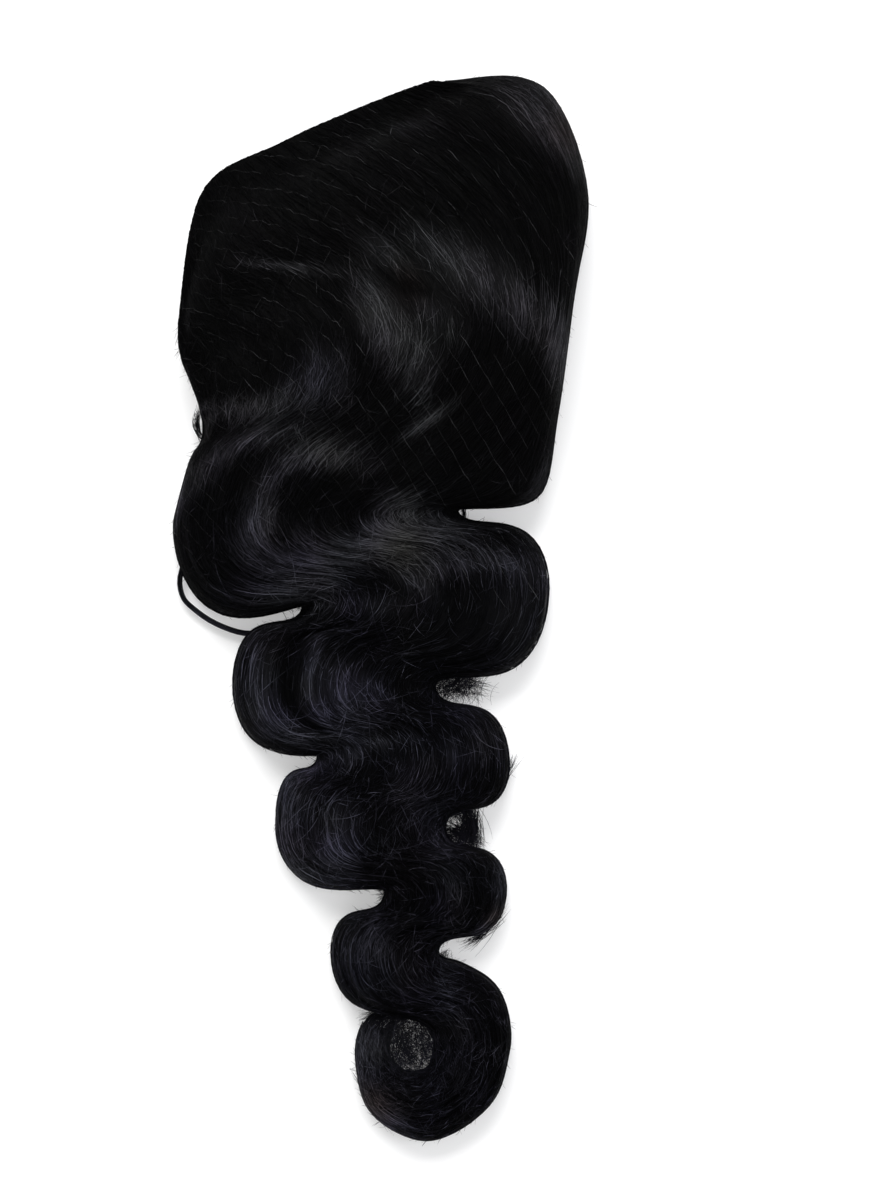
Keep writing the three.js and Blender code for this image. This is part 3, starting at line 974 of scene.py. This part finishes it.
# sparse hairs that bridge the curl's eye and the notches: middle, half length and half width in
# millimetres, direction and its spread in degrees, number of hairs, height, how far they bow
hairVeils = {
    "eye_web": [
        (14.2, -184.0, 13.5, 10.5, 92, 16, 160, 6.0, 3.0),
        (14.2, -184.0, 13.5, 12.5, 15, 20, 88, 7.0, 3.0),
        (14.2, -184.0, 13.5, 12.0, 140, 22, 112, 5.0, 2.0),
        (8.5, -185.0, 12.0, 4.0, 97, 10, 30, 7.0, 1.5),
        (12.5, -184.0, 15.0, 10.5, 92, 22, 76, 12.5, 3.0),
        (12.5, -184.0, 15.0, 12.0, 10, 25, 52, 12.0, 3.0),
    ],
    "neck_hairs": [
        (3.0, -172.5, 10.0, 2.4, 18, 14, 170, 6.5, 1.0), (8.0, -175.0, 12.0, 2.2, 35, 16, 70, 7.0, 1.5),
    ],
    "notch_hairs": [
        (25.5, -33.4, 7.0, 5.5, 85, 24, 95, 5.0, 1.0), (35.0, -32.6, 7.0, 8.0, 88, 26, 130, 6.0, 1.5),
        (33.0, -33.4, 13.0, 4.2, 8, 20, 80, 6.0, 1.5), (19.0, -33.4, 5.0, 3.0, 50, 30, 60, 6.0, 1.0),
        (36.5, -92.0, 10.5, 3.8, 96, 16, 230, 5.0, -1.5), (33.0, -97.5, 10.0, 3.4, -20, 18, 160, 5.5, 1.0),
        (31.0, -86.5, 9.0, 2.4, 25, 16, 110, 5.5, .5),
        (27.0, -150.0, 5.0, 3.0, 85, 22, 60, 4.5, 1.0), (28.5, -154.0, 9.0, 2.4, -20, 14, 110, 4.5, .8),
    ],
    "left_notch_hairs": [
        (-30.0, 2.4, 7.0, 1.6, 12, 20, 60, 5.0, .6), (-22.5, -61.0, 7.0, 1.8, 8, 20, 70, 5.0, .6),
        (5.0, -120.5, 7.0, 1.8, 12, 20, 60, 5.0, .6),
    ],
    "fringe_hairs": [
        (-1.0, -208.0, 14.0, 1.6, -55, 9, 70, 4.5, -1.5), (44.0, -135.5, 11.0, 1.5, 42, 9, 56, 4.5, -1.2),
        (52.0, -72.0, 10.0, 1.0, 65, 9, 30, 4.5, -.8),
    ],
    "slot_hairs": [(35.6, 39.8, 5.2, .7, 95, 8, 34, 6.0, .4)],
    "side_loop": [(-75.4, 77.0, 6.8, .25, 96, 3, 46, 5.5, 2.6)],
}
veilLook = {
    "even": ("eye_web",),  # spread evenly to their edges, bowed to both sides
    "evenBow": (-1, 1.5),
    "bow": (.4, 1.5),
    "crowding": .6,
    "reach": (.7, 1.15),
    "shift": .12,
    "levelSpread": .9,
    "points": 6,
    "width": (.00012, .00021),
    "tones": (1.18, .4),  # mean and spread
    # an even painted highlight on every veil hair
    "sheen": .16,
}


def makeHairVeils():
    random = np.random.default_rng(33)
    look = veilLook
    points = look["points"]
    steps = np.linspace(-1, 1, points)
    for name, parts in hairVeils.items():
        even = name in look["even"]
        paths = []
        for x, y, long, wide, direction, spread, count, height, bow in parts:
            for _ in range(count):
                lean = math.radians(direction + random.normal(0, spread))
                reach = long * random.uniform(*look["reach"])
                shift = random.normal(0, look["shift"]) * long
                off = wide * (random.uniform(-1, 1) if even else look["crowding"] * random.normal())
                bend = random.uniform(*look["evenBow" if even else "bow"])
                off = off + bow * (1 - steps ** 2) * bend
                along = np.array([math.cos(lean), math.sin(lean)])
                across = np.array([-along[1], along[0]])
                route = np.outer(steps * reach + shift, along) + np.outer(off, across)
                place = placeFromMiddle(0, 0) + (route + [x, y]) * millimetre
                level = (height + random.normal(0, look["levelSpread"])) * millimetre
                paths.append(np.column_stack([place, np.full(points, level)]))
        paths = np.array(paths)
        zero = np.zeros(paths.shape[:2])
        shade = strandShades(random, len(paths), points, *look["tones"])
        traits = hairTraits(zero, zero, paths[..., 0], paths[..., 1], shade)
        # the even painted highlight
        traits["sheen"] = zero + look["sheen"]
        strandTubes(name, paths, random.uniform(*look["width"], len(paths)), traits, flyHair)


makeHairVeils()


looseLock = {
    "places": [(-79.6, 27.0), (-84.7, 13.5), (-83.7, 4.5), (-78.8, -.9),
               (-70.0, -6.8), (-58.6, -10.8), (-49.0, -10.4), (-39.4, -8.1)],
    "hairs": 34,
    "points": 27,
    "radius": .0012,
    "height": .0045,
    "twist": 3,  # radians, either way
    "width": (.00025, .00045),
    "tones": (.99, .5),  # mean and spread
    # an even painted highlight on every hair of the lock
    "sheen": .25,
}


def makeLooseLock():
    random = np.random.default_rng(34)
    spec = looseLock
    route = np.array([placeFromMiddle(*place) for place in spec["places"]])
    line = spline(route, np.linspace(0, len(route) - 1, spec["points"]))
    tangent = np.gradient(line, axis=0)
    tangent /= np.linalg.norm(tangent, axis=1, keepdims=True)
    side = np.stack([-tangent[:, 1], tangent[:, 0]], 1)
    steps = np.linspace(0, 1, spec["points"])
    paths = []
    for _ in range(spec["hairs"]):
        angle = random.uniform(0, 2 * np.pi) + random.uniform(-spec["twist"], spec["twist"]) * steps
        reach = spec["radius"] * math.sqrt(random.uniform(0, 1))
        place = line + side * (reach * np.cos(angle))[:, None]
        paths.append(np.column_stack([place, spec["height"] + reach * np.sin(angle)]))
    paths = np.array(paths)
    zero = np.zeros(paths.shape[:2])
    shade = strandShades(random, len(paths), spec["points"], *spec["tones"])
    traits = hairTraits(zero, zero, paths[..., 0], paths[..., 1], shade)
    # the even painted highlight
    traits["sheen"] = zero + spec["sheen"]
    strandTubes("loose_lock", paths, random.uniform(*spec["width"], len(paths)), traits, strandHair)


makeLooseLock()
print("veils and loose lock made")


hairNet = {
    "rows": 49,
    "rowGap": .0066,
    "bendShift": .0043,  # how much further left each row begins to bend down
    "bendFrom": -.040,
    "bendOver": .125,
    "slopes": (3, 60),  # degrees
    "firstRow": .232,
    "lowestLeft": .014,
    "lowestRight": .000,
    "lowestTurn": (-.05, .04),  # where the lower limit goes over from the left one to the right one
    "knotGap": .0036,
    "pointsAKnot": 3,  # points along a row from knot to knot
    "threadPoints": 5,
    "zigzag": .00038,
    "wander": .0018,
    "wanderLength": .03,
    "wanderStep": .37,  # how far the wander moves on from row to row
    "thread": (.00009, .00016),
    "brightest": 1.7,
    "unevenness": 1.4,  # a power: the higher, the more threads are faint
    "skipped": .12,
    "faintLeft": (-.066, -.040, .25),  # from, to, and how much shows to the left of it
    "faintLow": (.060, .095, .15),  # the same downwards, on the left half
    "leftHalf": (-.010, .010),
    "clear": .0007,
    "linkChance": .07,
    "linkThread": .00012,
    "linkLevel": (.1, .7),
    "dark": (.004, .004, .0045),
    "pale": (.085, .085, .090),
}


def netMaterial():
    material = bpy.data.materials.new("net_thread")
    material.use_nodes = True
    tree = material.node_tree
    shader = tree.nodes["Principled BSDF"]
    shader.inputs["Specular IOR Level"].default_value = .25
    place = tree.nodes.new("ShaderNodeTexCoord")
    twist = tree.nodes.new("ShaderNodeTexNoise")
    twist.inputs["Scale"].default_value = 700
    tone = tree.nodes.new("ShaderNodeMapRange")
    tone.inputs["From Min"].default_value = .35
    tone.inputs["From Max"].default_value = .65
    tone.inputs["To Min"].default_value = .35
    tone.inputs["To Max"].default_value = .6
    level = tree.nodes.new("ShaderNodeAttribute")
    level.attribute_name = "shade"
    uneven = tree.nodes.new("ShaderNodeMath")
    uneven.operation = "MULTIPLY"
    blend = tree.nodes.new("ShaderNodeMix")
    blend.data_type = "RGBA"
    blend.inputs["A"].default_value = (*hairNet["dark"], 1)
    blend.inputs["B"].default_value = (*hairNet["pale"], 1)
    tree.links.new(place.outputs["Object"], twist.inputs["Vector"])
    tree.links.new(twist.outputs["Fac"], tone.inputs["Value"])
    tree.links.new(twist.outputs["Fac"], uneven.inputs[0])
    tree.links.new(level.outputs["Fac"], uneven.inputs[1])
    tree.links.new(uneven.outputs[0], blend.inputs["Factor"])
    tree.links.new(blend.outputs["Result"], shader.inputs["Base Color"])
    tree.links.new(tone.outputs["Result"], shader.inputs["Roughness"])
    return material


# the net's rows run level on the left and bend down on the right, with a few threads between them
def makeHairNet():
    random = np.random.default_rng(44)
    spec = hairNet
    step = spec["knotGap"] / spec["pointsAKnot"]
    x = np.arange(cadLow.x, cadHigh.x, step)
    rows = []
    for row in range(spec["rows"]):
        shift = x + row * spec["bendShift"]
        bend = smooth(spec["bendFrom"], spec["bendFrom"] + spec["bendOver"], shift)
        angle = np.radians(spec["slopes"][0] + (spec["slopes"][1] - spec["slopes"][0]) * bend)
        y = spec["firstRow"] - row * spec["rowGap"] - np.cumsum(np.tan(angle)) * step
        onward = np.full_like(x, row * spec["wanderStep"])
        y += spec["wander"] * valueNoise(x / spec["wanderLength"], onward, 46)
        turn = np.arange(len(x)) * np.pi / spec["pointsAKnot"] + row * np.pi
        y += spec["zigzag"] * np.sin(turn) + .5 * spec["zigzag"] * random.normal(0, 1, len(x))
        rows.append(np.stack([x, y], 1))
    left, right = spec["lowestLeft"], spec["lowestRight"]
    lowest = left + (right - left) * smooth(*spec["lowestTurn"], x)
    pieces, levels, widths = [], [], []

    def shown(place):
        leftFrom, leftTo, left = spec["faintLeft"]
        lowFrom, lowTo, low = spec["faintLow"]
        side = left + (1 - left) * smooth(leftFrom, leftTo, place[0])
        clear = max(smooth(lowFrom, lowTo, place[1]), smooth(*spec["leftHalf"], place[0]))
        return side * (low + (1 - low) * clear)

    def addThread(line, width, level):
        heights = [topUnder(*place) for place in line]
        if any(height is None for height in heights):
            return
        heights = np.array(heights)
        taut = np.maximum(heights, (heights[0] + heights[-1]) / 2)
        pieces.append(np.column_stack([line, taut + spec["clear"]]))
        levels.append(level)
        widths.append(width)

    points = spec["threadPoints"]
    for row, line in enumerate(rows):
        for start in range(0, len(x) - points, points - 1):
            part = line[start:start + points]
            if random.uniform() < spec["skipped"]:
                continue
            if part[-1, 1] > lowest[start]:
                width = random.uniform(*spec["thread"])
                level = spec["brightest"] * random.uniform(0, 1) ** spec["unevenness"]
                addThread(part, width, level * shown(part[0]))
            if row + 1 < len(rows) and random.uniform() < spec["linkChance"] and part[0, 1] > lowest[start]:
                below = rows[row + 1]
                target = below[np.argmin(np.hypot(*(below - part[0]).T))]
                link = part[0] + (target - part[0]) * np.linspace(0, 1, points)[:, None]
                addThread(link, spec["linkThread"], random.uniform(*spec["linkLevel"]) * shown(part[0]))
    paths = np.array(pieces)
    zero = np.zeros(paths.shape[:2])
    traits = {"shade": zero + np.array(levels)[:, None]}
    strandTubes("hair_net", paths, np.array(widths), traits, netMaterial())


makeHairNet()
print("hair net drawn over the crown")


laceSheet = {
    "wall": .0008,
    "shares": (.035, .845),
    "low": .0127,
    "high": .0213,
    "across": 60,
    "along": 24,
    "leaf": .46,  # the share of the section that each leaf takes, the fold the rest
    "bulge": .027,
    "flat": (.33, .10),
    "mesh": 700,  # cells to the metre
    "thread": (.13, .095, .07),
    "hole": (.010, .009, .009),
    "relief": .0004,
}


def laceMaterial():
    material = bpy.data.materials.new("knotted_lace")
    material.use_nodes = True
    tree = material.node_tree
    shader = tree.nodes["Principled BSDF"]
    shader.inputs["Specular IOR Level"].default_value = .2
    shader.inputs["Roughness"].default_value = .9
    place = tree.nodes.new("ShaderNodeTexCoord")
    cells = tree.nodes.new("ShaderNodeTexVoronoi")
    cells.inputs["Scale"].default_value = laceSheet["mesh"]
    cells.feature = "DISTANCE_TO_EDGE"
    edge = tree.nodes.new("ShaderNodeMapRange")
    edge.inputs["From Max"].default_value = .16
    blend = tree.nodes.new("ShaderNodeMix")
    blend.data_type = "RGBA"
    blend.inputs["A"].default_value = (*laceSheet["thread"], 1)
    blend.inputs["B"].default_value = (*laceSheet["hole"], 1)
    relief = tree.nodes.new("ShaderNodeBump")
    relief.inputs["Distance"].default_value = laceSheet["relief"]
    tree.links.new(place.outputs["Object"], cells.inputs["Vector"])
    tree.links.new(cells.outputs["Distance"], edge.inputs["Value"])
    tree.links.new(edge.outputs["Result"], blend.inputs["Factor"])
    tree.links.new(blend.outputs["Result"], shader.inputs["Base Color"])
    tree.links.new(edge.outputs["Result"], relief.inputs["Height"])
    tree.links.new(relief.outputs["Normal"], shader.inputs["Normal"])
    return material


# the lace base as one folded sheet: lower leaf, round the fold, upper leaf
def makeLace():
    spec = laceSheet
    bm = bmesh.new()
    bmesh.ops.create_grid(bm, x_segments=spec["across"], y_segments=spec["along"], size=.5)
    low, high, leaf = spec["low"], spec["high"], spec["leaf"]
    start, end = spec["shares"]
    radius = (high - low) / 2
    for vert in bm.verts:
        run = vert.co.x + .5
        station = (vert.co.y + .5) * laceStation
        if run < leaf:
            share, height = start + (end - start) * run / leaf, low
        elif run > 1 - leaf:
            share, height = start + (end - start) * (1 - run) / leaf, high
        else:
            angle = math.pi * ((run - leaf) / (1 - 2 * leaf) - .5)
            share = end + spec["bulge"] * math.cos(angle)
            height = (low + high) / 2 + radius * math.sin(angle)
        place = between(flowGrid, np.array([station]), np.array([share]))[0]
        vert.co = (place[0], place[1], height)
    bmesh.ops.recalc_face_normals(bm, faces=bm.faces[:])
    mesh = bpy.data.meshes.new("lace")
    bm.to_mesh(mesh)
    bm.free()
    piece = bpy.data.objects.new("lace", mesh)
    bpy.context.scene.collection.objects.link(piece)
    thickness = piece.modifiers.new("wall", "SOLIDIFY")
    thickness.thickness = spec["wall"]
    thickness.offset = 0
    finishPiece(piece, laceMaterial())
    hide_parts("lace_base")


makeLace()
print("lace folded between the layers of hair")


studio = {
    "viewCentre": (.0265, .0076),
    "frameHeight": .4964,
    "distance": 1.5,
    "subjectHeight": .015,
    "sensor": 36.0,
    "world": .62,
    "floor": .66,
    "floorGlow": .34,
    "floorSize": 3,
    "floorDrop": .0002,
    "key": {"place": (-.25, 1.25, 1.35), "size": (1.3, .7), "power": 40, "colour": (1, 1, 1)},
    "side": {"place": (1.3, -.2, 1.0), "size": (.8, .8), "power": 8, "colour": (.92, .94, 1)},
}


def makeCamera():
    camera = bpy.data.cameras.new("camera")
    camera.sensor_width = studio["sensor"]
    camera.lens = studio["sensor"] * studio["distance"] / studio["frameHeight"]
    holder = bpy.data.objects.new("camera", camera)
    bpy.context.scene.collection.objects.link(holder)
    x, y = studio["viewCentre"]
    holder.location = (x, y, studio["subjectHeight"] + studio["distance"])
    bpy.context.scene.camera = holder


def areaLight(name, place, size, power, colour):
    light = bpy.data.lights.new(name, "AREA")
    light.shape = "RECTANGLE"
    light.size, light.size_y = size
    light.energy = power
    light.color = colour
    holder = bpy.data.objects.new(name, light)
    bpy.context.scene.collection.objects.link(holder)
    holder.location = place
    holder.rotation_euler = (-Vector(place)).to_track_quat("-Z", "Y").to_euler()


def makeStudio():
    bm = bmesh.new()
    bmesh.ops.create_grid(bm, x_segments=1, y_segments=1, size=studio["floorSize"])
    mesh = bpy.data.meshes.new("floor")
    bm.to_mesh(mesh)
    bm.free()
    floor = bpy.data.objects.new("floor", mesh)
    floor.location.z = -studio["floorDrop"]
    bpy.context.scene.collection.objects.link(floor)
    paper = bpy.data.materials.new("pale_floor")
    paper.use_nodes = True
    shader = paper.node_tree.nodes["Principled BSDF"]
    shader.inputs["Base Color"].default_value = (*[studio["floor"]] * 3, 1)
    shader.inputs["Roughness"].default_value = .8
    shader.inputs["Emission Color"].default_value = (1, 1, 1, 1)
    shader.inputs["Emission Strength"].default_value = studio["floorGlow"]
    mesh.materials.append(paper)
    world = bpy.data.worlds.new("studio")
    world.use_nodes = True
    world.node_tree.nodes["Background"].inputs["Color"].default_value = (1, 1, 1, 1)
    world.node_tree.nodes["Background"].inputs["Strength"].default_value = studio["world"]
    bpy.context.scene.world = world
    areaLight("key", **studio["key"])
    areaLight("side", **studio["side"])
    bpy.context.scene.view_settings.view_transform = "Standard"


makeCamera()
makeStudio()
print("studio set")

triangles = sum(len(piece.data.loops) - 2 * len(piece.data.polygons)
                for piece in bpy.data.objects if piece.type == "MESH" and piece.name != "floor")
print("triangles in all, with the CAD ones:", triangles)
